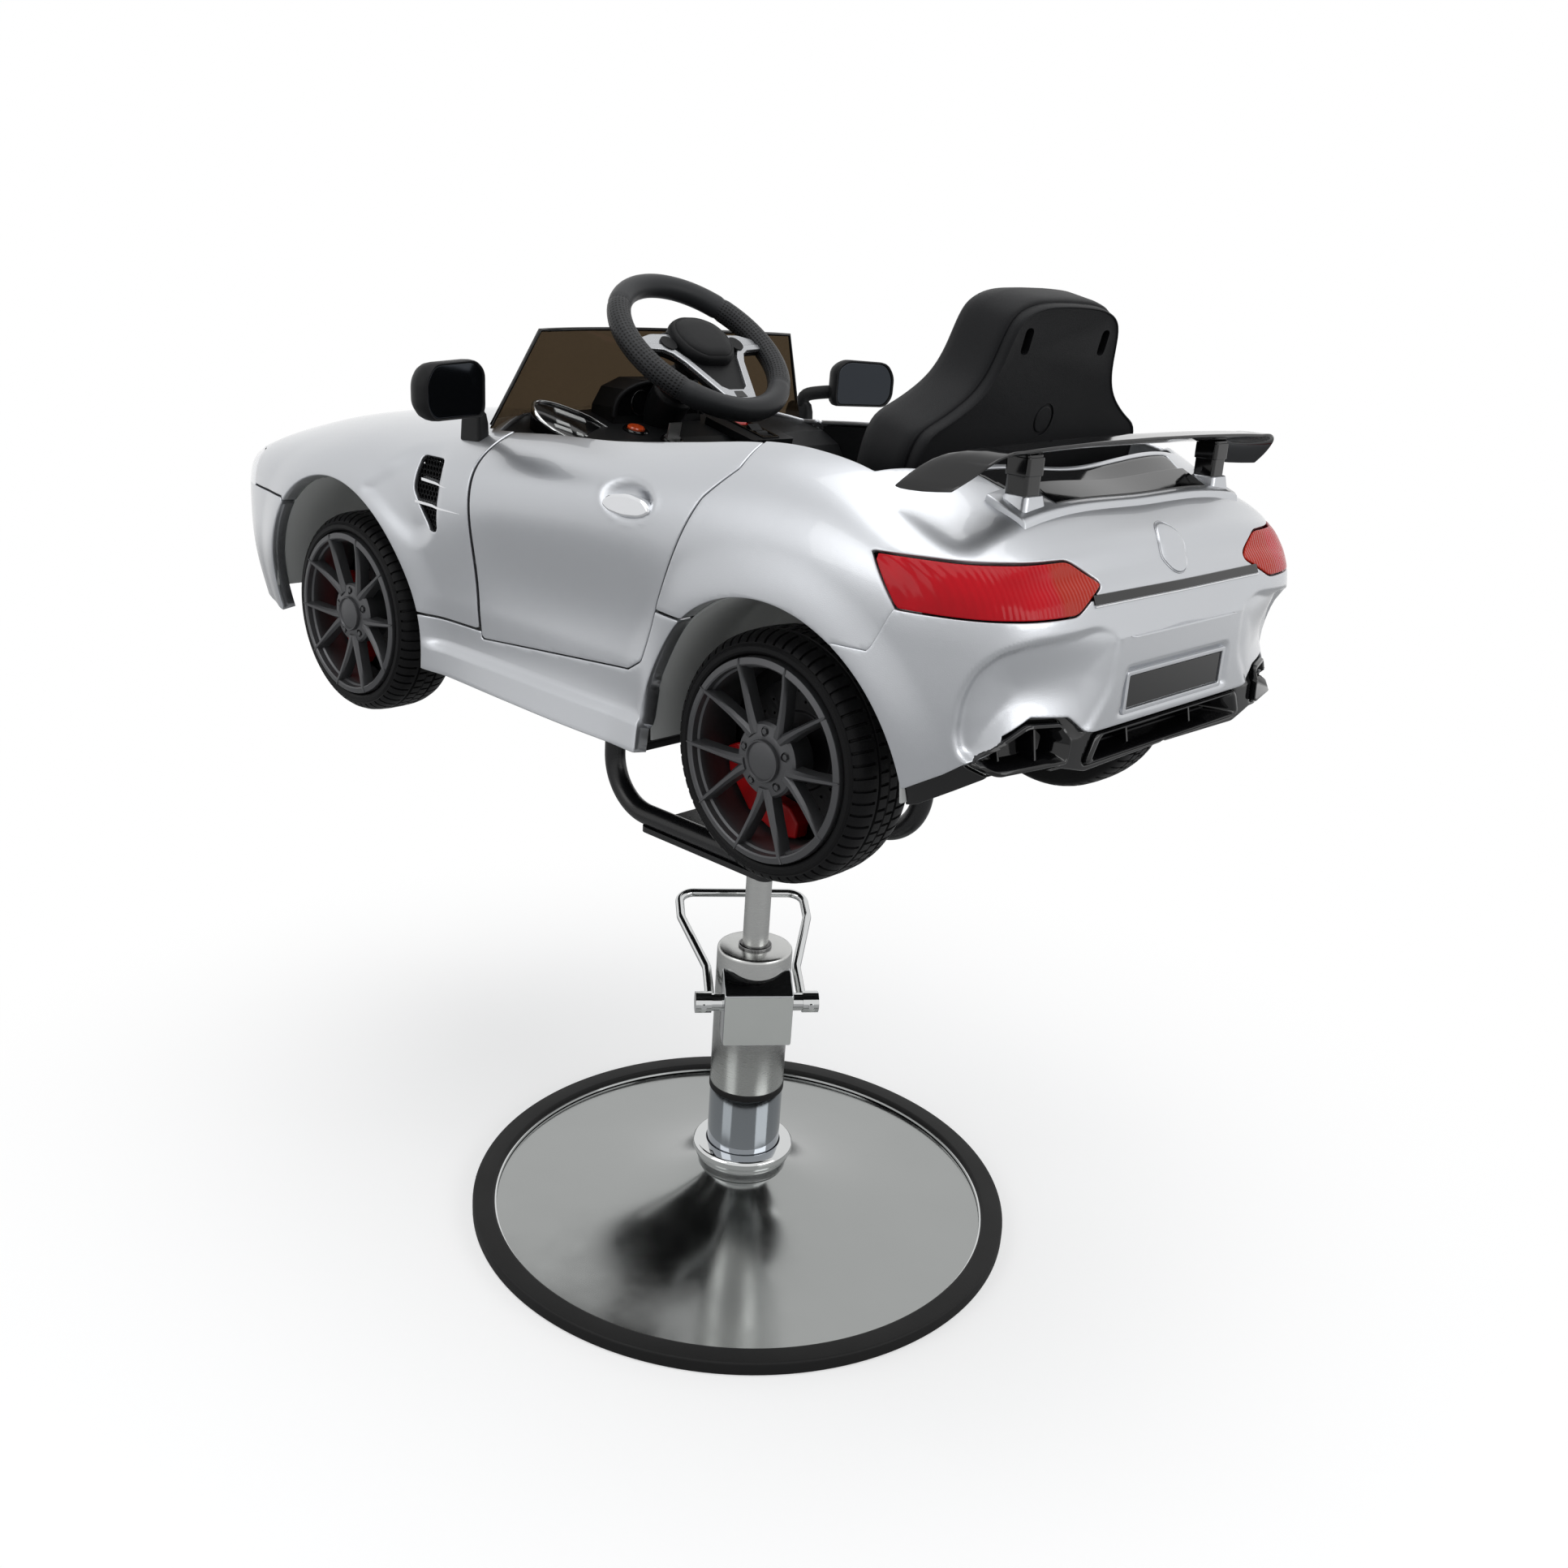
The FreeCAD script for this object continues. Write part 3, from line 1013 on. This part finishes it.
def build_seat(inner):
    """Moulded seat: the squab between the wheel housings, the bell-shaped back and the side mouldings."""
    top = spot(0, *SEAT_TOP_SHARES)
    low = spot(0, *SEAT_LOW_SHARES)
    rise = (top - low).normalize()
    ahead = SIDE.cross(rise)
    middle_z = (SEAT_BACK_SHARES[0][1] + SEAT_BACK_SHARES[-1][1]) / 2
    wires = []
    for depth, scale in SEAT_SECTION_SHARES:
        points = []
        for x, z in SEAT_BACK_SHARES:
            height = mm.body_rise * (middle_z + (z - middle_z) * scale) - (low.z - floor_z)
            points.append(low + rise * (height / rise.z) + SIDE * (mm.half_width * x * scale)
                          + ahead * (mm.seat_thick * depth))
        points += [V(-point.x, point.y, point.z) for point in reversed(points[1:])]
        wires.append(Part.makePolygon(points + points[:1]))
    back = Part.makeLoft(wires, True, True)
    (slot_x, slot_low), (slot_far, slot_high) = SEAT_SLOT_SHARES
    slot = box_between(spot(slot_x, 0, slot_low), spot(slot_far, 1, slot_high))
    back = back.cut(both(slot))
    keep_shape(back, "seat_back")
    seat_half = mm.half_width * SEAT_HALF_SHARE
    squab = side_prism(side_outline(SEAT_BASE_SHARES, mm.tail_reach), -seat_half, seat_half)
    half_channel = mm.beam_width * AXLE_CHANNEL_SHARE
    squab = squab.cut(box_between((-mm.half_width, mm.rear_axle_reach - half_channel, floor_z),
                                  (mm.half_width, mm.rear_axle_reach + half_channel, axle_z + half_channel)))
    start, end = [mm.tail_reach * share for share in BOLSTER_REACH_SHARES]
    bolster = prism([spot(x, 0, z) + BACK * start for x, z in BOLSTER_SHARES], BACK * (end - start))
    bolster = bolster.common(inner).cut(back)
    keep_shape(Part.makeCompound([squab.cut(back)] + both(bolster)), "seat_base")


GLASS_SHARES = ((-0.44, -0.50), (0.36, -0.50), (0.50, -0.28), (0.50, 0.20), (0.34, 0.46), (-0.34, 0.50),
                (-0.50, 0.30), (-0.50, -0.34))
MIRROR_SPOT_SHARES = (1.0602, -0.3221, 1.0357)
# The housing's sections from the glass forwards: depth and scale.
MIRROR_SECTION_SHARES = ((0.0, 1.0), (0.45, 0.96), (0.85, 0.72), (1.0, 0.50))
MIRROR_GLASS_SHARE = 0.92
MIRROR_HINGE_SHARES = (0.8496, -0.4295)
MIRROR_FOOT_SHARES = ((0.8271, -0.4787), (0.8759, -0.4698), (0.8797, -0.3937), (0.8308, -0.3937))
MIRROR_FOOT_HEIGHT_SHARES = (0.7786, 0.95)
MIRROR_ARM_SHARES = (0.5, 0.3)


def build_mirrors(outer):
    """Door mirrors: a foot on the fender, a folding housing and its glass."""
    low, foot_top = heights(*MIRROR_FOOT_HEIGHT_SHARES)
    foot = prism([V(mm.half_width * x, mm.tail_reach * y, low) for x, y in MIRROR_FOOT_SHARES],
                 UP * (foot_top - low)).cut(outer)
    keep_shape(Part.makeCompound(both(foot)), "mirror_bases")
    centre = spot(*MIRROR_SPOT_SHARES)
    yaw = math.radians(mm.mirror_yaw)
    across = V(math.cos(yaw), math.sin(yaw), 0)
    forward = V(math.sin(yaw), -math.cos(yaw), 0)

    def face_points(scale):
        return [centre + across * (mm.mirror_width * x * scale) + UP * (mm.mirror_height * z * scale)
                for x, z in GLASS_SHARES]

    wires = []
    for depth, scale in MIRROR_SECTION_SHARES:
        points = [point + forward * (mm.mirror_depth * depth) for point in face_points(scale)]
        wires.append(Part.makePolygon(points + points[:1]))
    housing = Part.makeLoft(wires, True, True)
    glass = prism(face_points(MIRROR_GLASS_SHARE), forward * mm.mirror_glass)
    arm_low = foot_top + mm.running_gap
    hinge_x, hinge_y = MIRROR_HINGE_SHARES
    start = V(mm.half_width * hinge_x, mm.tail_reach * hinge_y, arm_low)
    pin = Part.makeCylinder(mm.mirror_pin, mm.mirror_arm, start)
    depth_share, width_share = MIRROR_ARM_SHARES
    reach = centre + forward * (mm.mirror_depth * depth_share) - across * (mm.mirror_width * width_share)
    span = V(reach.x, reach.y, arm_low) - start
    width = V(-span.y, span.x, 0).normalize() * mm.mirror_pin
    end = start + span
    arm = prism([start - width, end - width, end + width, start + width], UP * mm.mirror_arm)
    housing = housing.cut(glass).fuse([pin, arm]).removeSplitter()
    mirror = Part.makeCompound([housing, glass])
    keep_shape(mirror, "mirror_left")
    keep_shape(mirrored(mirror), "mirror_right")


SPOKE_PAIRS = 5
SPOKE_ROOT_ANGLE = 12
SPOKE_TIP_ANGLE = 15
LUG_SHIFT_SHARE = 0.5
CALIPER_ANGLES = {"front": 115, "rear": -70}
CALIPER_HALF_ANGLE = 38
CALIPER_ARC_SHARES = (-1, -0.5, 0, 0.5, 1)


def toward(angle, radius):
    """A step out from the wheel's centre, at an angle from straight up towards the rear."""
    turn = math.radians(angle)
    return V(0, math.sin(turn), math.cos(turn)) * radius


def build_wheel(name, y):
    """One wheel: the moulded tyre with its web and hub, and the spoked trim pressed into it."""
    inner_x = mm.wheel_face - mm.wheel_inset - mm.tyre_width
    outer_x = inner_x + mm.tyre_width
    web_x = inner_x + mm.web_inset
    web_top = web_x + mm.wheel_web
    disc_x = mm.wheel_face - mm.rim_recess
    bore = mm.axle_radius + mm.running_gap
    step = mm.tyre_shoulder
    centre = V(0, y, axle_z)
    tyre = turned_about([
        (inner_x, mm.rim_radius), (inner_x, mm.tyre_radius - step), (inner_x + step, mm.tyre_radius),
        (outer_x - step, mm.tyre_radius), (outer_x, mm.tyre_radius - step), (outer_x, mm.rim_radius),
        (web_top, mm.rim_radius), (web_top, mm.wheel_hub), (disc_x, mm.wheel_hub), (disc_x, bore),
        (web_x, bore), (web_x, mm.rim_radius)], centre, SIDE)
    ring_x = mm.wheel_face - mm.rim_depth
    face_x = mm.wheel_face - mm.rim_offset
    cap_x = face_x + mm.cap_rise
    rim = turned_about([
        (ring_x, mm.rim_radius), (mm.wheel_face - mm.edge_round, mm.rim_radius),
        (mm.wheel_face, mm.rim_radius - mm.edge_round),
        (mm.wheel_face, mm.rim_radius - mm.rim_ring + mm.edge_round),
        (ring_x, mm.rim_radius - mm.rim_ring)], centre, SIDE)
    disc = turned_about([
        (disc_x, bore), (disc_x, mm.hub_disc), (face_x, mm.hub_disc), (face_x, mm.cap_radius),
        (cap_x, mm.cap_radius - mm.edge_round), (cap_x, 0), (face_x - mm.cap_rise, 0),
        (face_x - mm.cap_rise, bore)], centre, SIDE)
    base = centre + SIDE * (face_x - mm.spoke_thick)
    spokes = []
    lugs = []
    for pair in range(SPOKE_PAIRS):
        middle = FULL_TURN * pair / SPOKE_PAIRS
        for lean in (-1, 1):
            root = toward(middle + lean * SPOKE_ROOT_ANGLE, mm.cap_radius - mm.edge_round)
            tip = toward(middle + lean * SPOKE_TIP_ANGLE, mm.rim_radius - mm.rim_ring / 2)
            wide = SIDE.cross((tip - root).normalize())
            corners = [base + root + wide * (mm.spoke_root / 2), base + tip + wide * (mm.spoke_tip / 2),
                       base + tip - wide * (mm.spoke_tip / 2), base + root - wide * (mm.spoke_root / 2)]
            spokes.append(prism(corners, SIDE * mm.spoke_thick))
        place = centre + toward(middle + FULL_TURN * LUG_SHIFT_SHARE / SPOKE_PAIRS,
                                (mm.hub_disc + mm.cap_radius) / 2)
        lugs.append(Part.makeCylinder(mm.lug_radius, mm.lug_depth,
                                      place + SIDE * (face_x - mm.lug_depth / 2), SIDE))
    rim = rim.fuse([disc] + spokes).removeSplitter().cut(lugs)
    ring = turned_about([(web_top, mm.caliper_inner), (web_top, mm.caliper_outer),
                         (web_top + mm.caliper_thick, mm.caliper_outer - mm.edge_round),
                         (web_top + mm.caliper_thick, mm.caliper_inner + mm.edge_round)], centre, SIDE)
    start = centre + SIDE * web_x
    axle = name.split("_")[0]
    wedge = [start] + [start + toward(CALIPER_ANGLES[axle] + CALIPER_HALF_ANGLE * share, mm.tyre_radius)
                       for share in CALIPER_ARC_SHARES]
    caliper = ring.common(prism(wedge, SIDE * mm.tyre_width))
    trim = Part.makeCompound([rim, caliper])
    if name.endswith("right"):
        tyre = mirrored(tyre)
        trim = mirrored(trim)
    keep_shape(tyre, "tyre_" + name)
    keep_shape(trim, "rim_" + name)


def steering_centre():
    return V(0, -mm.steer_reach, floor_z + mm.steer_height)


def steering_foot():
    """Where the column ends, over the tie rod's slot."""
    return V(0, mm.column_foot - mm.front_axle_reach, axle_z + mm.column_rise)


def steering_axis():
    return (steering_centre() - steering_foot()).normalize()


# The steering wheel's side spokes' half width and its lower spokes' width, of the pad radius.
SIDE_SPOKE_SHARE = 0.55
LOWER_SPOKE_SHARE = 0.39
LOWER_SPOKE_ANGLE = 22
HORN_SHARE = 1.15
CRANK_SEAT_SHARE = 0.85


def build_steering():
    """Wheel with two horn buttons, its column through the dash and the crank at the foot."""
    axis = steering_axis()
    lean = math.degrees(math.atan2(axis.y, axis.z))
    place = FreeCAD.Placement(steering_centre(), FreeCAD.Rotation(SIDE, -lean))
    ring_radius = mm.steer_radius - mm.grip_radius
    plate = mm.spoke_plate
    low = -mm.grip_radius
    plate_low = low / 2
    hub = Part.makeCylinder(mm.pad_radius, mm.grip_radius + mm.pad_rise, V(0, 0, low))
    hub = hub.makeFillet(mm.pad_rise / 2, [max(hub.Edges, key=lambda edge: edge.CenterOfMass.z)])
    side_half = mm.pad_radius * SIDE_SPOKE_SHARE
    side_spokes = box_between((-ring_radius, -side_half, plate_low),
                              (ring_radius, side_half, plate_low + plate))
    pieces = [hub, side_spokes]
    lower = mm.pad_radius * LOWER_SPOKE_SHARE
    for side in (-1, 1):
        spoke = box_between((-lower / 2, 0, plate_low), (lower / 2, ring_radius, plate_low + plate))
        spoke.rotate(V(0, 0, 0), UP, side * LOWER_SPOKE_ANGLE)
        pieces.append(spoke)
    wheel = Part.makeTorus(ring_radius, mm.grip_radius).fuse(pieces).removeSplitter()
    horn = V(mm.pad_radius + mm.button_radius * HORN_SHARE, 0, plate_low + plate)
    well = Part.makeCylinder(mm.button_radius + mm.switch_gap, plate / 2, horn - UP * (plate / 2))
    button = Part.makeCylinder(mm.button_radius, mm.horn_rise + plate / 4, horn - UP * (plate / 4))
    keep_shape(placed(wheel.cut(both(well)), place), "steering_wheel")
    keep_shape(placed(button, place), "horn_button_left")
    keep_shape(placed(mirrored(button), place), "horn_button_right")
    bottom = -(steering_centre() - steering_foot()).Length
    rod = Part.makeCylinder(mm.column_rod, low - bottom, V(0, 0, bottom))
    crank = Part.makeBox(mm.column_rod * 2, mm.crank_throw + mm.column_rod, plate,
                         V(-mm.column_rod, 0, bottom + plate * CRANK_SEAT_SHARE))
    pin = Part.makeCylinder(mm.crank_pin, plate * 2, V(0, mm.crank_throw, bottom - plate))
    keep_shape(placed(rod.fuse([crank, pin]).removeSplitter(), place), "steering_column")


AXLE_POST_SHARE = 0.22
PIN_HEAD_SHARE = 0.8
KNUCKLE_ARM_SHARE = 1.5
TIE_SLOT_SHARE = 0.8
TIE_EYE_SHARE = 1.5
SADDLE_SHARE = 0.36


def build_axles():
    """Front beam with kingpin sleeves, knuckles, tie rod, and the rear axle in its saddles."""
    y = -mm.front_axle_reach
    beam_low = axle_z + mm.beam_rise
    beam_high = beam_low + mm.beam_height
    pan_top = floor_z + mm.pan_thick
    half = mm.beam_width / 2
    kingpin_x = mm.kingpin_side
    sleeve_radius = mm.kingpin_radius * 2
    pieces = both(Part.makeCylinder(sleeve_radius, mm.boss_height, V(kingpin_x, y, beam_low)))
    post_x = mm.half_width * AXLE_POST_SHARE
    post = box_between((post_x - half / 2, y - half, pan_top), (post_x + half / 2, y + half, beam_low))
    pieces += both(post)
    bore = Part.makeCylinder(mm.kingpin_radius + mm.running_gap, mm.boss_height * 2,
                             V(kingpin_x, y, beam_low - mm.boss_height / 2))
    beam = box_between((-kingpin_x, y - half, beam_low), (kingpin_x, y + half, beam_high))
    keep_shape(beam.fuse(pieces).removeSplitter().cut(both(bore)), "front_axle")

    stub_end = mm.wheel_face - mm.rim_offset - mm.cap_rise * 2
    web_x = mm.wheel_face - mm.wheel_inset - mm.tyre_width + mm.web_inset - mm.hub_clearance
    block_low = axle_z - mm.kingpin_radius * 2
    boss_top = beam_low + mm.boss_height
    arm_thick = mm.tie_bar_thick * KNUCKLE_ARM_SHARE
    half_bar = mm.tie_bar_width / 2
    rod_y = y + mm.knuckle_arm
    foot = V(kingpin_x, y, block_low)
    head = V(kingpin_x, y, boss_top + mm.running_gap)
    block = Part.makeCylinder(sleeve_radius, beam_low - mm.hub_clearance - block_low, foot)
    knuckle = block.fuse([
        Part.makeCylinder(mm.kingpin_radius, boss_top + mm.wall - block_low, foot),
        Part.makeCylinder(sleeve_radius * PIN_HEAD_SHARE, mm.wall, head),
        cylinder_along(mm.axle_radius, V(kingpin_x, y, axle_z), V(stub_end, y, axle_z)),
        cylinder_along(mm.beam_rise - mm.hub_clearance * 2, V(kingpin_x, y, axle_z), V(web_x, y, axle_z)),
        box_between((kingpin_x - half_bar, y, block_low), (kingpin_x + half_bar, rod_y + half_bar,
                                                          block_low + arm_thick)),
        Part.makeCylinder(mm.tie_pin, mm.tie_bar_thick * 2 + arm_thick,
                          V(kingpin_x, rod_y, block_low - mm.tie_bar_thick * 2))]).removeSplitter()
    keep_shape(knuckle, "knuckle_left")
    keep_shape(mirrored(knuckle), "knuckle_right")

    bar_high = block_low - mm.running_gap
    bar_low = bar_high - mm.tie_bar_thick
    slot_half = mm.crank_pin + mm.slot_gap
    slot_reach = mm.tie_bar_width * TIE_SLOT_SHARE
    eye_reach = slot_reach + mm.wall * TIE_EYE_SHARE
    bar = box_between((-kingpin_x, rod_y - half_bar, bar_low), (kingpin_x, rod_y + half_bar, bar_high))
    end = Part.makeCylinder(half_bar, mm.tie_bar_thick, V(kingpin_x, rod_y, bar_low))
    eye = box_between((-mm.tie_bar_width, rod_y - eye_reach, bar_low),
                      (mm.tie_bar_width, rod_y + eye_reach, bar_high))
    pin_hole = Part.makeCylinder(mm.tie_pin + mm.running_gap, mm.tie_bar_thick * 2,
                                 V(kingpin_x, rod_y, bar_low - mm.tie_bar_thick / 2))
    slot = box_between((-slot_half, rod_y - slot_reach, bar_low - mm.wall),
                       (slot_half, rod_y + slot_reach, bar_high + mm.wall))
    bar = bar.fuse(both(end) + [eye]).removeSplitter()
    keep_shape(bar.cut(both(pin_hole) + [slot]), "tie_rod")

    rear_y = mm.rear_axle_reach
    rod = cylinder_along(mm.axle_radius, V(-stub_end, rear_y, axle_z), V(stub_end, rear_y, axle_z))
    saddle_x = mm.half_width * SADDLE_SHARE
    saddle = box_between((saddle_x - half / 2, rear_y - half, pan_top),
                         (saddle_x + half / 2, rear_y + half, axle_z + mm.axle_radius * 2))
    spacer = cylinder_along(sleeve_radius, V(mm.well_depth, rear_y, axle_z), V(web_x, rear_y, axle_z))
    keep_shape(rod.fuse(both(saddle) + both(spacer)).removeSplitter(), "rear_axle")


build_base()
build_column()
build_pump()
build_piston()
build_cradle()
car_form = body_form(0, 0, PROFILE_FACETS)
car_inside = body_form(mm.wall, OVERRUN / 2, INNER_FACETS)
build_body(car_form, car_inside)
build_doors(car_form)
build_wing(car_form)
build_dash(car_form)
build_seat(car_inside)
build_mirrors(car_form)
for wheel_name, wheel_y in (("front_left", -mm.front_axle_reach), ("front_right", -mm.front_axle_reach),
                            ("rear_left", mm.rear_axle_reach), ("rear_right", mm.rear_axle_reach)):
    build_wheel(wheel_name, wheel_y)
build_steering()
build_axles()
doc.recompute()

for item in doc.Objects:
    if "Invalid" in item.State or "Error" in item.State:
        raise RuntimeError("%s did not compute: %s" % (item.Name, item.State))
for item in parts:
    if item.Shape.isNull() or not item.Shape.isValid() or not item.Shape.Solids:
        raise RuntimeError("%s has no sound solid" % item.Label)

os.makedirs("parts", exist_ok=True)
for item in parts:
    item.Shape.exportStep(os.path.join("parts", item.Label + ".step"))
    box = item.Shape.BoundBox
    print("%-18s solids %d  volume %10.0f  x %7.1f %7.1f  y %7.1f %7.1f  z %7.1f %7.1f" % (
        item.Label, len(item.Shape.Solids), item.Shape.Volume, box.XMin, box.XMax, box.YMin, box.YMax,
        box.ZMin, box.ZMax))
print(len(parts), "sub-parts")
